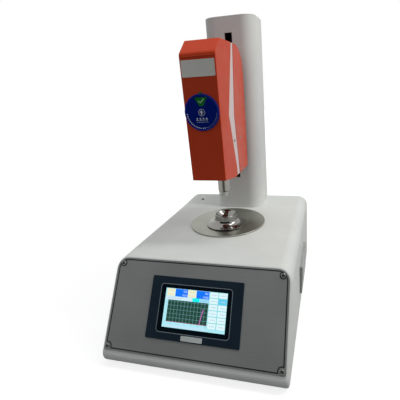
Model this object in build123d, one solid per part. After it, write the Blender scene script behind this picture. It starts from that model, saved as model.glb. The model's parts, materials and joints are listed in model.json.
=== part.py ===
from build123d import *
import os
from math import cos, pi, radians, sin, tan

# Eggshell hardness tester, in millimetres.
# +Z is up, the operator's side is -Y, and the origin is on the bench under
# the middle of the base.

# Base housing
WIDTH = 312.0
REAR_Y = 220.0
FOOT_H = 2.3
TOP_Z = 158.0
SHEET = 2.5
EDGE_R = 22.0
CREASE_Y = 148.0
RAMP_RISE = 2.5
TOE_R = 16.0
FACE_EDGE_R = 4.5
TOP_SCREW = (-110.0, 179.4)

# Inclined front panel: its frame starts midway between the two upper screws
PANEL_ANGLE = 57.0
PANEL_Y, PANEL_Z = -140.8, 148.9
PANEL_T = 1.5
PANEL_HALF_W = 151.5
PANEL_TOP, PANEL_BOTTOM = 9.7, -142.0
PANEL_SCREWS = [(-141.0, 0.0), (141.0, 0.0), (-145.7, -136.0), (145.7, -136.0)]

# Touch screen, measured on the panel
SCREEN_W, SCREEN_H = 159.7, 98.8
SCREEN_MID = -65.7
GLASS_W, GLASS_H = 124.0, 75.4
GLASS_MID = -66.0
SCREEN_DEPTH = 30.0
SCREEN_PROUD = 1.6

# Loading axis, steel plate and egg cup
AXIS_Y = 27.0
PLATE_Y, PLATE_R, PLATE_T = 39.4, 78.6, 2.8
CUP_FLANGE_R, CUP_RIM_R = 41.4, 22.6
CUP_H = 22.5
CUP_SEAT_R = 20.6

# Column
COL_HALF_W = 55.0
COL_FRONT, COL_REAR = 131.0, 218.0
COL_R = 28.0
COL_WALL = 5.0
COL_TOP = 577.5
CAP_T = 3.0
SLOT_HALF_W = 8.0
SLOT_Z0, SLOT_Z1 = 233.0, 545.0

# Lift drive
SCREW_Y = 186.0
SCREW_R = 8.0
MOTOR_SHAFT_R = 3.2
ROD_R, ROD_X = 6.0, 32.0
FIT = 0.05
CARRIAGE_Z0, CARRIAGE_Z1 = 353.0, 458.0
NECK_HALF_W = 6.5

# Test head, seen from the side as (y, z)
HEAD_HALF_W = 31.2
HEAD_WALL = 2.5
HEAD_TOP, HEAD_BOTTOM = 514.0, 266.0
HEAD_REAR = 117.0
HEAD_REAR_R = 55.0
BROW_R = 8.0
BEVEL_TOP = (-34.0, HEAD_TOP)
FRONT_TOP = (-63.5, 491.0)
FRONT_LOW = (-56.0, 277.5)
BOTTOM_BREAK = (10.0, HEAD_BOTTOM)
COVER_SEAM = [(33.6, HEAD_TOP), (-8.6, 388.3), (30.2, HEAD_BOTTOM)]
REAR_SEAM = [(45.3, HEAD_TOP), (28.3, 382.0), (45.6, HEAD_BOTTOM)]
BAND_INSET = 0.6

# Chuck and probe
CHUCK_R, CHUCK_Z0 = 11.9, 233.0
TIP_R, TIP_Z = 7.0, 223.0

# Status disc on the head
DISC_Z, DISC_R = 397.8, 30.6

# Panel printer in the right wall
PRN_Y, PRN_Z = 35.5, 66.3
PRN_L, PRN_H = 112.0, 60.4
PRN_PROUD_LOW, PRN_PROUD_TOP = 4.2, 6.2
DOOR_Y0, DOOR_Y1 = 5.0, 87.0
HINGE_X, HINGE_Z = WIDTH / 2 + 2.2, 45.5
PIN_R = 1.2

# Rear service panel
INLET_X, SWITCH_X, SERVICE_Z = 100.0, 100.0, 50.0
ROCKER_Y = 214.7

panel = Plane(
    origin=(0, PANEL_Y, PANEL_Z),
    x_dir=(1, 0, 0),
    z_dir=(0, -sin(radians(PANEL_ANGLE)), cos(radians(PANEL_ANGLE))),
)
lean = (FRONT_LOW[0] - FRONT_TOP[0]) / (FRONT_TOP[1] - FRONT_LOW[1])
head_face = Plane(
    origin=(0, FRONT_LOW[0] - lean * (DISC_Z - FRONT_LOW[1]), DISC_Z),
    x_dir=(1, 0, 0),
    z_dir=(0, -1, -lean),
)
parts = {}


def block(x0, x1, y0, y1, z0, z1):
    """Box between limits."""
    return Pos((x0 + x1) / 2, (y0 + y1) / 2, (z0 + z1) / 2) * Box(
        abs(x1 - x0), abs(y1 - y0), abs(z1 - z0)
    )


def post(x, y, z0, z1, r):
    """Upright cylinder."""
    return Pos(x, y, (z0 + z1) / 2) * Cylinder(r, z1 - z0)


def lying(x, y0, y1, z, r):
    """Cylinder along Y."""
    return Pos(x, (y0 + y1) / 2, z) * Rot(90, 0, 0) * Cylinder(r, y1 - y0)


def turned(points, x=0.0, y=0.0):
    """Solid turned about an upright axis from (radius, z) points."""
    face = make_face(Plane.XZ * Polyline(*points, close=True))
    return Pos(x, y, 0) * revolve(face, Axis.Z)


def side_slab(points, half_w):
    """(y, z) outline carried across the width."""
    face = make_face(Plane.YZ * Polyline(*points, close=True))
    return extrude(face, half_w, both=True)


def on_panel(shape, x=0.0, v=0.0, out=0.0):
    """Place a shape on the inclined panel: x across, v up the slope."""
    return panel * Pos(x, v, out) * shape


def rounded_plate(w, h, t, r):
    """Flat plate with round corners, its back on the plane."""
    return extrude(RectangleRounded(w, h, r), t)


def pan_screw(head_r, head_h, shank_r, shank_l):
    """Pan-head screw with a cross recess, its head standing on z = 0."""
    head = extrude(Circle(head_r), head_h)
    head = fillet(head.edges().sort_by(Axis.Z)[-1], head_h * 0.6)
    slot_l, slot_w = head_r * 1.1, head_r * 0.26
    recess = Box(slot_l, slot_w, head_h) + Box(slot_w, slot_l, head_h)
    shank = Pos(0, 0, -shank_l / 2) * Cylinder(shank_r, shank_l)
    return head - Pos(0, 0, head_h) * recess + shank


def filled(*curves):
    """Face inside a closed run of lines and arcs."""
    return make_face((Curve() + list(curves)).edges())


def group(shapes):
    """Separate solids that share one node."""
    solids = []
    for shape in shapes:
        solids.extend(shape.solids())
    return Compound(children=solids)


# Base housing


def hood_section(y, half_w, top, r):
    """Upright cross-section of the hood: square below, round at the top corners."""
    line = Polyline(
        (-half_w, -20), (-half_w, top), (half_w, top), (half_w, -20), close=True
    )
    face = make_face(line)
    upper = face.vertices().filter_by(lambda p: p.Y > 0)
    return Plane(origin=(0, y, 0), x_dir=(1, 0, 0), z_dir=(0, -1, 0)) * fillet(upper, r)


def hood_block(inset):
    """Outer shape of the hood, or its inside when inset by the sheet thickness."""
    half_w, r = WIDTH / 2 - inset, EDGE_R - inset
    rear = REAR_Y - inset
    flat = hood_section(CREASE_Y, half_w, TOP_Z - inset, r)
    raised = hood_section(rear, half_w, TOP_Z + RAMP_RISE - inset, r)
    body = extrude(flat, 400) + loft([flat, raised], ruled=True)
    slope = radians(PANEL_ANGLE)
    back = PANEL_T + inset
    start_y = PANEL_Y + back * sin(slope)
    start_z = PANEL_Z - back * cos(slope)
    floor_z = FOOT_H + inset
    toe_y = start_y - (start_z - floor_z) / tan(slope)
    crown_y = start_y + (200 - start_z) / tan(slope)
    outline = Polyline(
        (toe_y, floor_z), (crown_y, 200), (rear + 1, 200), (rear + 1, floor_z), close=True
    )
    face = make_face(outline)
    toe = face.vertices().sort_by(Axis.X)[0]
    nose = extrude(Plane.YZ * fillet(toe, TOE_R - inset), WIDTH, both=True)
    return body & nose


def soften_face(body):
    """Round the edges of the inclined face, as bent sheet has them."""
    rim = []
    for edge in body.edges():
        heights = [panel.to_local_coords(edge @ t).Z + PANEL_T for t in (0, 0.5, 1)]
        level = max(abs(h) for h in heights) < 0.01
        if level and (edge @ 0.5).Z > FOOT_H + TOE_R + 15:
            rim.append(edge)
    return fillet(rim, FACE_EDGE_R)


def base_hood():
    """Bent sheet hood with a wedge front, a rolled toe and a turned-in bottom edge."""
    outer = soften_face(hood_block(0))
    shell = outer - hood_block(SHEET)
    for x, v in PANEL_SCREWS:
        shell += on_panel(Pos(0, 0, -6) * Cylinder(4.5, 7), x, v, -PANEL_T) & outer
    shell -= block(-122, 122, -180, 204, 0, 9)
    shell -= on_panel(Box(150, 88, 20), 0, SCREEN_MID)
    for x, v in PANEL_SCREWS:
        shell -= on_panel(Cylinder(2.05, 40), x, v)
    shell -= block(140, 170, -16, 88, 43, 93)
    shell -= block(-130, 130, 210, 230, 28, 112)
    shell -= post(0, SCREW_Y, 150, 165, 20)
    for x, y in foot_bolts():
        shell -= post(x, y, 150, 165, 3.3)
    shell -= post(*TOP_SCREW, 150, 165, 2.05)
    for x, y in flange_points():
        shell -= post(x, y, 0, 9, 1.8)
    return shell


def flange_points():
    """Screws through the turned-in bottom edge."""
    return [(sx * 130, y) for sx in (-1, 1) for y in (-170, 0, 170)]


def foot_bolts():
    """Bolts that tie the column to its foot plate through the hood."""
    return [(sx * 40, y) for sx in (-1, 1) for y in (147, 206)]


def base_plate():
    """Floor plate that carries everything inside the base."""
    plate = block(-152, 152, -188, 217, FOOT_H + SHEET, FOOT_H + SHEET + 2.5)
    plate = fillet(plate.edges().filter_by(Axis.Z), 6)
    for x, y in flange_points():
        plate -= post(x, y, 0, 12, 1.5)
    vents = [block(x - 1.5, x + 1.5, -60, 0, 0, 12) for x in range(-125, -34, 9)]
    return plate - vents


def rubber_foot():
    """Tapered foot with a screw recess."""
    foot = turned([(0, 0), (11, 0), (12.5, FOOT_H), (0, FOOT_H)])
    return foot - post(0, 0, -1, FOOT_H - 1.2, 4.5)


parts["base_hood"] = base_hood()
parts["base_plate"] = base_plate()
parts["flange_screws"] = group(
    [Pos(x, y, FOOT_H) * Rot(180, 0, 0) * pan_screw(2.9, 1.9, 1.48, 6.5) for x, y in flange_points()]
)
parts["rubber_feet"] = group(
    [Pos(sx * 137, y, 0) * rubber_foot() for sx in (-1, 1) for y in (-148, 195)]
)
parts["top_screw"] = Pos(*TOP_SCREW, TOP_Z + 1.4) * pan_screw(3.4, 1.2, 1.98, 7)


# Front panel and touch screen


def front_panel():
    """Flat plate over the inclined front, its upper corners following the hood."""
    outline = Polyline(
        (-PANEL_HALF_W, PANEL_BOTTOM),
        (-PANEL_HALF_W, PANEL_TOP),
        (PANEL_HALF_W, PANEL_TOP),
        (PANEL_HALF_W, PANEL_BOTTOM),
        close=True,
    )
    face = make_face(outline)
    face = fillet(face.vertices().filter_by(lambda p: p.Y > 0), 19)
    face = fillet(face.vertices().filter_by(lambda p: p.Y < -130), 3)
    plate = extrude(face, PANEL_T)
    plate -= Pos(0, SCREEN_MID, 0) * Box(149.4, 87.4, 8)
    for x, v in PANEL_SCREWS:
        plate -= Pos(x, v, 0) * Cylinder(2.2, 8)
    return on_panel(plate, out=-PANEL_T)


def screen_bezel():
    """Flat frame round the glass, with a soft outer edge."""
    frame = rounded_plate(SCREEN_W, SCREEN_H, SCREEN_PROUD, 2.5)
    frame = chamfer(frame.faces().sort_by(Axis.Z)[-1].edges(), 0.6)
    window = Pos(0, GLASS_MID - SCREEN_MID, -1) * rounded_plate(GLASS_W, GLASS_H, 5, 5)
    return on_panel(frame - window, 0, SCREEN_MID)


def screen_housing():
    """Electronics case behind the screen, with a stepped back and cooling slots."""
    case = Pos(0, 0, -12) * rounded_plate(147, 85, 12, 3)
    back = Pos(0, 0, -SCREEN_DEPTH) * rounded_plate(128, 68, SCREEN_DEPTH - 12, 4)
    case += fillet(back.faces().sort_by(Axis.Z)[0].edges(), 3)
    for i in range(9):
        case -= Pos(-40 + i * 10, 0, -SCREEN_DEPTH) * Box(3, 40, 4)
    return on_panel(case, 0, SCREEN_MID)


parts["front_panel"] = front_panel()
parts["front_panel_screws"] = group(
    [on_panel(pan_screw(3.7, 2.3, 2.0, 10), x, v) for x, v in PANEL_SCREWS]
)
parts["screen_bezel"] = screen_bezel()
parts["touch_glass"] = on_panel(
    rounded_plate(GLASS_W - 0.3, GLASS_H - 0.3, 1.2, 4.8), 0, GLASS_MID, 0.05
)
parts["screen_housing"] = screen_housing()
parts["screen_nameplate"] = on_panel(
    rounded_plate(36, 7.7, 0.6, 1), 1, -109.5, SCREEN_PROUD
)


# Steel plate and egg cup


def egg_cup():
    """Polished cup: flared foot, upright neck and a bowl that takes the egg's end."""
    z0 = TOP_Z + PLATE_T + 1.0
    flare_top = z0 + 11.0
    rim_z = z0 + CUP_H - 1.0
    outer = [
        Line((0, z0), (CUP_FLANGE_R, z0)),
        Line((CUP_FLANGE_R, z0), (CUP_FLANGE_R, z0 + 1.2)),
        Spline(
            (CUP_FLANGE_R, z0 + 1.2),
            (CUP_RIM_R + 1.2, flare_top),
            tangents=[(-1, 0.18), (-0.25, 1)],
        ),
        Line((CUP_RIM_R + 1.2, flare_top), (CUP_RIM_R, rim_z)),
        Line((CUP_RIM_R, rim_z), (0, rim_z)),
        Line((0, rim_z), (0, z0)),
    ]
    body = revolve(Plane.XZ * filled(*outer), Axis.Z)
    bowl_r = 23.0
    bowl_z = rim_z + (bowl_r**2 - CUP_SEAT_R**2) ** 0.5
    body -= Pos(0, 0, bowl_z) * Sphere(bowl_r)
    body -= post(0, 0, z0 - 1, rim_z, 5)
    rim = body.edges().filter_by(GeomType.CIRCLE).group_by(Axis.Z)[-1]
    return Pos(0, AXIS_Y, 0) * fillet(rim, 0.6)


def round_plate():
    """Flat stainless plate with a broken edge."""
    disc = post(0, PLATE_Y, TOP_Z, TOP_Z + PLATE_T, PLATE_R)
    return chamfer(disc.edges().group_by(Axis.Z)[-1], 0.4)


plate_top = TOP_Z + PLATE_T
parts["round_steel_plate"] = round_plate()
parts["egg_cup"] = egg_cup()
parts["cup_base_ring"] = turned(
    [(30, plate_top), (40.4, plate_top), (40.4, plate_top + 1), (30, plate_top + 1)],
    y=AXIS_Y,
)


# Column


def column_section(inset=0.0):
    """Plan of the column: large front corners and hard rear edges."""
    half_w = COL_HALF_W - inset
    front, rear = COL_FRONT + inset, COL_REAR - inset
    face = make_face(
        Polyline((-half_w, front), (half_w, front), (half_w, rear), (-half_w, rear), close=True)
    )
    face = fillet(face.vertices().group_by(Axis.Y)[0], COL_R - inset)
    return fillet(face.vertices().group_by(Axis.Y)[-1], 1.5)


def column_shell():
    """Extruded column with the carriage slot in its front face."""
    z0, z1 = TOP_Z - 2, COL_TOP - CAP_T
    shell = Pos(0, 0, z0) * extrude(column_section(), z1 - z0)
    shell -= Pos(0, 0, z0) * extrude(column_section(COL_WALL), z1 - z0)
    for sx in (-1, 1):
        shell += column_bosses(sx, z0, z1)
    shell -= block(-SLOT_HALF_W, SLOT_HALF_W, COL_FRONT - 5, COL_FRONT + 9, SLOT_Z0, SLOT_Z1)
    return shell - hood_block(0)


def column_bosses(sx, z0, z1):
    """Screw channels that run up inside the side wall."""
    channels = None
    for y in (147, 206):
        boss = post(sx * (COL_HALF_W - 11.3), y, z0, z1, 6.5)
        channels = boss if channels is None else channels + boss
    channels &= Pos(0, 0, z0) * extrude(column_section(COL_WALL - 1), z1 - z0)
    for y in (147, 206):
        channels -= post(sx * 40, y, z0, z1, 2.5)
    return channels


def column_cap():
    """Flat lid on the column."""
    cap = Pos(0, 0, COL_TOP - CAP_T) * extrude(column_section(), CAP_T)
    return chamfer(cap.faces().sort_by(Axis.Z)[-1].edges(), 0.6)


def bearing_block(z0, z1, bore):
    """Cross block between the column walls, for the guide rods and a screw bearing."""
    reach = COL_HALF_W - COL_WALL
    body = block(-34, 34, SCREW_Y - 19, SCREW_Y + 19, z0, z1)
    body += block(-reach, reach, SCREW_Y - 11, SCREW_Y + 11, z0, z1)
    for sx in (-1, 1):
        body -= post(sx * ROD_X, SCREW_Y, z0 - 1, z1 + 1, ROD_R + 0.02)
    return body - post(0, SCREW_Y, z0 - 1, z1 + 1, bore)


def bearing(z0, z1):
    """Ball bearing with grooved faces, around the screw journal."""
    half = (z1 - z0) / 2
    ring = turned(
        [(SCREW_R - 2 + FIT, z0), (13.9, z0), (13.9, z1), (SCREW_R - 2 + FIT, z1)], y=SCREW_Y
    )
    groove = Pos(0, SCREW_Y, z1) * (Cylinder(11.6, half / 2) - Cylinder(8.6, half / 2))
    return ring - groove


LOW_BLOCK = (196.0, 214.0)
HIGH_BLOCK = (556.0, 569.0)
FOOT_PLATE = (143.0, TOP_Z - SHEET)

parts["column_shell"] = column_shell()
parts["column_cap"] = column_cap()
parts["guide_rods"] = group(
    [post(sx * ROD_X, SCREW_Y, LOW_BLOCK[0] + 1, HIGH_BLOCK[1] - 1, ROD_R) for sx in (-1, 1)]
)
parts["lower_bearing_block"] = bearing_block(*LOW_BLOCK, 14)
parts["upper_bearing_block"] = bearing_block(*HIGH_BLOCK, 14)
parts["screw_bearings"] = group([bearing(200, 210), bearing(558, 567)])


def foot_plate():
    """Thick plate under the hood: the column above it, the motor below."""
    plate = block(-66, 66, 122, 214, *FOOT_PLATE)
    plate = fillet(plate.edges().filter_by(Axis.Z), 8)
    plate -= post(0, SCREW_Y, 140, 160, 19.2)
    for x, y in foot_bolts():
        plate -= post(x, y, 140, 160, 3.3)
    return plate


def pillars():
    """Four posts that stand the foot plate on the floor plate."""
    floor = FOOT_H + SHEET + 2.5
    return [post(sx * 54, y, floor, FOOT_PLATE[0], 9) for sx in (-1, 1) for y in (134, 203)]


def column_bolt(x, y):
    """Cap screw up through the foot plate into the column."""
    head = post(x, y, FOOT_PLATE[0] - 6, FOOT_PLATE[0], 5)
    shank = post(x, y, FOOT_PLATE[0], TOP_Z + 22, 2.4)
    socket = Pos(x, y, FOOT_PLATE[0] - 6) * extrude(RegularPolygon(2.9, 6), 3)
    return head - socket + shank


parts["column_foot_plate"] = foot_plate()
parts["column_pillars"] = group(pillars())
parts["column_bolts"] = group([column_bolt(x, y) for x, y in foot_bolts()])


# Lift drive


def drive_motor():
    """Square stepping motor with cut corners and a pilot boss."""
    z1, z0 = FOOT_PLATE[0], FOOT_PLATE[0] - 76
    body = Pos(0, SCREW_Y, z0) * extrude(Rectangle(56.4, 56.4), 76)
    body = chamfer(body.edges().filter_by(Axis.Z), 4.5)
    for step in (12, 64):
        body -= Pos(0, SCREW_Y, z0 + step) * (Box(70, 70, 1.2) - Box(55, 55, 2))
    body += post(0, SCREW_Y, z1, z1 + 1.6, 19)
    return body - post(0, SCREW_Y, z1 - 20, z1 + 5, MOTOR_SHAFT_R + 0.6)


def lead_screw():
    """Screw with turned-down journals at both bearings."""
    journal = SCREW_R - 2
    z0, z1 = 176.0, 568.0
    return turned(
        [
            (0, z0),
            (journal, z0),
            (journal, LOW_BLOCK[1] + 1),
            (SCREW_R, LOW_BLOCK[1] + 2),
            (SCREW_R, HIGH_BLOCK[0] - 2),
            (journal, HIGH_BLOCK[0] - 1),
            (journal, z1 - 1),
            (journal - 1, z1),
            (0, z1),
        ],
        y=SCREW_Y,
    )


def shaft_coupling():
    """Split clamp coupling between motor and screw, with its two cross bores."""
    sleeve = post(0, SCREW_Y, 161, 193, 11)
    sleeve = chamfer(sleeve.edges().filter_by(GeomType.CIRCLE), 0.6)
    sleeve -= post(0, SCREW_Y, 160, 177, MOTOR_SHAFT_R)
    sleeve -= post(0, SCREW_Y, 176, 194, SCREW_R - 2)
    sleeve -= block(2, 15, SCREW_Y - 0.6, SCREW_Y + 0.6, 160, 194)
    for z in (167, 187):
        sleeve -= lying(8.3, SCREW_Y - 15, SCREW_Y + 15, z, 1.2)
    return sleeve


parts["drive_motor"] = drive_motor()
parts["motor_shaft"] = post(0, SCREW_Y, FOOT_PLATE[0] - 18, 175, MOTOR_SHAFT_R)
parts["shaft_coupling"] = shaft_coupling()
parts["lead_screw"] = lead_screw()


def carriage():
    """Carriage on the guide rods, with the neck that leaves through the slot."""
    wide = block(-46, 46, SCREW_Y - 14, SCREW_Y + 14, CARRIAGE_Z0, CARRIAGE_Z1)
    wide = fillet(wide.edges().filter_by(Axis.Z), 9)
    centre = block(-22, 22, SCREW_Y - 24, SCREW_Y + 20, CARRIAGE_Z0, CARRIAGE_Z1)
    centre = chamfer(centre.edges().filter_by(Axis.Z), 5)
    body = wide + centre
    body -= block(-24, 24, SCREW_Y - 40, SCREW_Y + 30, CARRIAGE_Z0 + 30, CARRIAGE_Z1 - 30) & (
        post(0, SCREW_Y, CARRIAGE_Z0 + 30, CARRIAGE_Z1 - 30, 16)
    )
    neck = block(
        -NECK_HALF_W, NECK_HALF_W, 113, SCREW_Y - 20, CARRIAGE_Z0 + 3, CARRIAGE_Z1 - 3
    )
    body += fillet(neck.edges().filter_by(Axis.X), 2)
    for sx in (-1, 1):
        body -= post(sx * ROD_X, SCREW_Y, CARRIAGE_Z0 - 1, CARRIAGE_Z1 + 1, ROD_R + FIT)
    body -= post(0, SCREW_Y, CARRIAGE_Z0 - 1, CARRIAGE_Z0 + 35, 13.02)
    return body - post(0, SCREW_Y, CARRIAGE_Z0 - 1, CARRIAGE_Z1 + 1, SCREW_R + 1)


def lead_nut():
    """Flanged bronze nut in the foot of the carriage."""
    nut = turned(
        [
            (SCREW_R + FIT, CARRIAGE_Z0 - 7),
            (20, CARRIAGE_Z0 - 7),
            (20, CARRIAGE_Z0),
            (13, CARRIAGE_Z0),
            (13, CARRIAGE_Z0 + 26),
            (SCREW_R + FIT, CARRIAGE_Z0 + 26),
        ],
        y=SCREW_Y,
    )
    for i in range(4):
        a = radians(45 + 90 * i)
        nut -= post(16.5 * cos(a), SCREW_Y + 16.5 * sin(a), CARRIAGE_Z0 - 8, CARRIAGE_Z0 + 1, 1.6)
    return nut


parts["carriage"] = carriage()
parts["lead_nut"] = lead_nut()


# Test head


def head_outline(inset=0.0):
    """Side view of the head: bevelled brow, raked face and round back."""
    top_rear = (HEAD_REAR - HEAD_REAR_R, HEAD_TOP)
    mid = HEAD_REAR_R * (1 - cos(pi / 4))
    lines = [
        Polyline(
            (HEAD_REAR, HEAD_TOP - HEAD_REAR_R),
            (HEAD_REAR, HEAD_BOTTOM + 2),
            (HEAD_REAR - 3, HEAD_BOTTOM),
            BOTTOM_BREAK,
            FRONT_LOW,
            FRONT_TOP,
            BEVEL_TOP,
            top_rear,
        ),
        ThreePointArc(
            top_rear,
            (HEAD_REAR - mid, HEAD_TOP - mid),
            (HEAD_REAR, HEAD_TOP - HEAD_REAR_R),
        ),
    ]
    face = filled(*lines)
    face = fillet(face.vertices().sort_by(Axis.X)[0], BROW_R)
    return offset(face, -inset, kind=Kind.INTERSECTION) if inset else face


def head_body(inset, half_w, soften=0.0):
    """Full head block."""
    body = extrude(Plane.YZ * head_outline(inset), half_w, both=True)
    if soften:
        sides = body.faces().filter_by(Axis.X)
        body = fillet(sides.edges(), soften)
    return body


def seam_region(seam, front):
    """Everything in front of a chevron seam, or behind it."""
    far = -200 if front else 300
    top, low = (seam[0][0], 600), (seam[-1][0], 200)
    points = [top, seam[0], seam[1], seam[2], low, (far, 200), (far, 600)]
    return side_slab(points, 60)


def chuck_hole():
    """Way out for the chuck in the head's floor."""
    return post(0, AXIS_Y, HEAD_BOTTOM - 10, HEAD_BOTTOM + 10, CHUCK_R + 1)


def side_screws():
    """(y, z) of the screws on each side of the head."""
    return [(60.8, 338.0), (18.0, 337.0), (20.6, 273.5), (61.3, 273.5)]


def screw_holes(depth=12):
    """Clearance for the side screws."""
    return [
        Pos(sx * HEAD_HALF_W, y, z) * Rot(0, 90, 0) * Cylinder(1.45, depth)
        for sx in (-1, 1)
        for y, z in side_screws()
    ]


def front_cover():
    """Red front shell, up to the chevron seam."""
    shell = head_body(0, HEAD_HALF_W, 1.2) - head_body(HEAD_WALL, HEAD_HALF_W - HEAD_WALL)
    shell &= seam_region(COVER_SEAM, True)
    shell -= head_face * Pos(0, 0, -2) * Cylinder(2.2, 6)
    return shell - chuck_hole() - screw_holes()


def mid_band():
    """White chevron body that shows between the two covers."""
    inner = HEAD_WALL + 1.5
    ring = head_body(BAND_INSET, HEAD_HALF_W - BAND_INSET) - head_body(inner, HEAD_HALF_W - inner)
    ring &= seam_region(COVER_SEAM, False)
    ring &= seam_region(REAR_SEAM, True)
    return ring - chuck_hole() - screw_holes()


def rear_cover():
    """Red rear shell with the opening for the carriage neck."""
    shell = head_body(0, HEAD_HALF_W, 1.2) - head_body(HEAD_WALL, HEAD_HALF_W - HEAD_WALL)
    shell &= seam_region(REAR_SEAM, False)
    shell -= block(-7.5, 7.5, 105, 125, CARRIAGE_Z0, CARRIAGE_Z1)
    return shell - chuck_hole() - screw_holes()


def head_backplate():
    """Upright plate bolted to the neck, with the shelf for the force sensor."""
    plate = block(-26, 26, 103, 113, 296, 470)
    plate = fillet(plate.edges().filter_by(Axis.Y), 4)
    for z in (365, 446):
        plate -= Pos(0, 108, z) * Rot(90, 0, 0) * Cylinder(2.6, 30)
    window = block(-16, 16, 90, 120, 384, 428)
    plate -= fillet(window.edges().filter_by(Axis.Y), 6)
    shelf = block(-18, 18, 84, 104, 331, 343)
    gusset = side_slab([(103.5, 343), (84, 343), (103.5, 366)], 3)
    return plate + shelf + gusset


def load_cell():
    """Bending-beam force sensor with its double-hole waist."""
    beam = block(-12, 12, 15, 102, 301, 331)
    beam = fillet(beam.edges().filter_by(Axis.X), 1)
    for y in (46, 71):
        beam -= Pos(0, y, 316) * Rot(0, 90, 0) * Cylinder(11, 40)
    beam -= block(-20, 20, 46, 71, 312, 320)
    return beam - post(0, AXIS_Y, 295, 335, 4.02)


def load_stud():
    """Stud from the sensor down to the chuck, with its lock nut."""
    stud = post(0, AXIS_Y, 281, 334, 4)
    nut = Pos(0, AXIS_Y, 292) * extrude(RegularPolygon(7.5, 6), 6)
    return stud + nut


def chuck():
    """Chrome chuck with a chamfered mouth and a cross hole for the clamp bar."""
    body = turned(
        [
            (0, 291),
            (9.5, 291),
            (9.5, 284),
            (CHUCK_R, 282),
            (CHUCK_R, CHUCK_Z0 + 1.4),
            (CHUCK_R - 1.4, CHUCK_Z0),
            (0, CHUCK_Z0),
        ],
        y=AXIS_Y,
    )
    body -= post(0, AXIS_Y, CHUCK_Z0 - 1, CHUCK_Z0 + 15, TIP_R + 0.02)
    return body - post(0, AXIS_Y, 280.5, 292, 4.02)


def probe_tip():
    """Flat-ended pressing tip."""
    tip = post(0, AXIS_Y, TIP_Z, CHUCK_Z0 + 14, TIP_R)
    return fillet(tip.edges().group_by(Axis.Z)[0], 0.8)


def side_screw(sx, y, z):
    """Small screw let into the head's side, on either hand."""
    screw = pan_screw(2.4, 1.0, 1.4, 4.5)
    return Pos(sx * HEAD_HALF_W, y, z) * Rot(0, 90 * sx, 0) * screw


parts["head_front_cover"] = front_cover()
parts["head_mid_band"] = mid_band()
parts["head_rear_cover"] = rear_cover()
parts["head_side_screws"] = group(
    [side_screw(sx, y, z) for sx in (-1, 1) for y, z in side_screws()]
)
parts["head_backplate"] = head_backplate()
parts["load_cell"] = load_cell()
parts["load_stud"] = load_stud()
parts["chuck"] = chuck()
parts["probe_tip"] = probe_tip()
parts["head_nameplate"] = head_face * Pos(0, 70.2, 0) * rounded_plate(57.4, 26.4, 0.9, 1.5)


# Status disc


def status_cover():
    """Round front plate with the wedge window that shows one sector."""
    disc = chamfer(extrude(Circle(DISC_R), 1.1).edges().group_by(Axis.Z)[-1], 0.3)
    window = extrude(
        make_face(Polyline((-3.5, 10.4), (3.5, 10.4), (12.1, 24.9), (-12.1, 24.9), close=True)), 3
    )
    window = fillet(window.edges().filter_by(Axis.Z), 0.8)
    return head_face * Pos(0, 0, 1.8) * (disc - window - Cylinder(2.2, 9))


def status_wheel():
    """Turning wheel behind the front plate, with its thumb tab over the rim."""
    wheel = extrude(Circle(DISC_R - 1.2), 0.8)
    tab = Pos(0, DISC_R - 1, 0) * rounded_plate(5.4, 7, 0.8, 1.2)
    return head_face * Pos(0, 0, 0.6) * (wheel + tab - Cylinder(2.2 + FIT, 9))


def status_rivet():
    """Rivet that carries both discs: domed head, stem and a thin washer."""
    stem = Pos(0, 0, -HEAD_WALL - 0.5) * extrude(Circle(2.18), HEAD_WALL + 4)
    head = Pos(0, 0, 2.9) * extrude(Circle(4.2), 1.0)
    head = fillet(head.edges().group_by(Axis.Z)[-1], 0.7)
    washer = extrude(Circle(5), 0.3)
    return head_face * (stem + head + washer)


parts["status_cover_disc"] = status_cover()
parts["status_wheel"] = status_wheel()
parts["status_rivet"] = status_rivet()


# Panel printer

WALL_X = WIDTH / 2
cutout = (PRN_Z - PRN_H / 2 + 6.4, PRN_Z + PRN_H / 2 - 3.0)


def printer_face(z):
    """How far out the printer's sloping front stands at a height."""
    up = (z - (PRN_Z - PRN_H / 2)) / PRN_H
    return WALL_X + PRN_PROUD_LOW + up * (PRN_PROUD_TOP - PRN_PROUD_LOW)


def printer_bezel():
    """Frame on the wall, proud at the top, with the door opening and button hole."""
    low, high = PRN_Z - PRN_H / 2, PRN_Z + PRN_H / 2
    wall = Plane(origin=(WALL_X, PRN_Y, PRN_Z), x_dir=(0, 1, 0), z_dir=(1, 0, 0))
    side = Polyline(
        (WALL_X, low), (printer_face(low), low), (printer_face(high), high), (WALL_X, high), close=True
    )
    wedge = Pos(0, PRN_Y, 0) * extrude(Plane.XZ * make_face(side), PRN_L, both=True)
    frame = wedge & (wall * rounded_plate(PRN_L, PRN_H, 10, 3))
    frame = chamfer(frame.faces().sort_by(Axis.X)[-1].edges(), 0.8)
    frame -= block(150, 170, DOOR_Y0 - 0.4, DOOR_Y1 + 0.4, *cutout)
    frame -= block(150, WALL_X + 2, -15, 2, 48, 88)
    frame -= block(150, 170, -11.3, -1.7, 62.7, 73.3)
    bore = lying(HINGE_X, DOOR_Y0 - 5, DOOR_Y1 + 4, HINGE_Z, PIN_R)
    return frame - bore


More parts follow.
